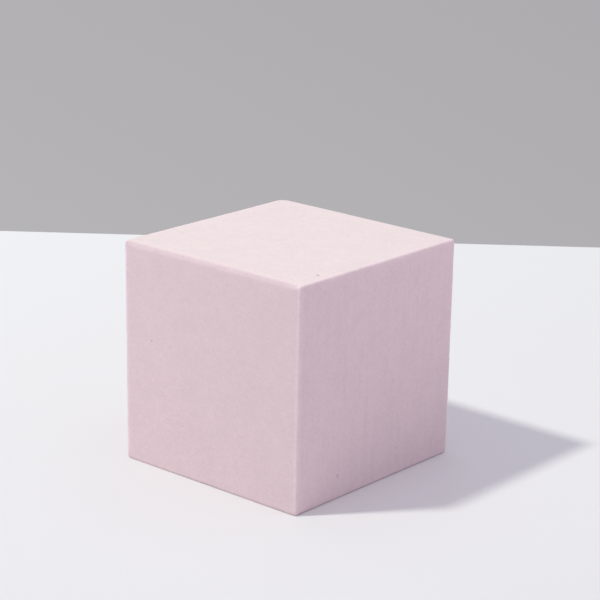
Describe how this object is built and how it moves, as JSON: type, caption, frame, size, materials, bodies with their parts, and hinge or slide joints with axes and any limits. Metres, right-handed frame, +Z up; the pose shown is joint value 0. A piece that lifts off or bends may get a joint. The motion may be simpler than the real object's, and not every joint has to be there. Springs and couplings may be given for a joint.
{
  "type": "floral foam block",
  "caption": "Near-cubic block of rigid pale pink floral foam that stands on its base and holds flower stems pushed into it.",
  "frame": {"origin": "middle of the underside, where the block rests on a table", "axes": "+Z up, +Y back along the longer side, +X across the block; the front right upright corner at +X -Y is the one that faces the viewer"},
  "size_m": [0.0808, 0.0834, 0.08],
  "materials": {
    "pink_floral_foam": "matte"
  },
  "bodies": {
    "root": {"foam_block": "pink_floral_foam"}
  },
  "joints": []
}
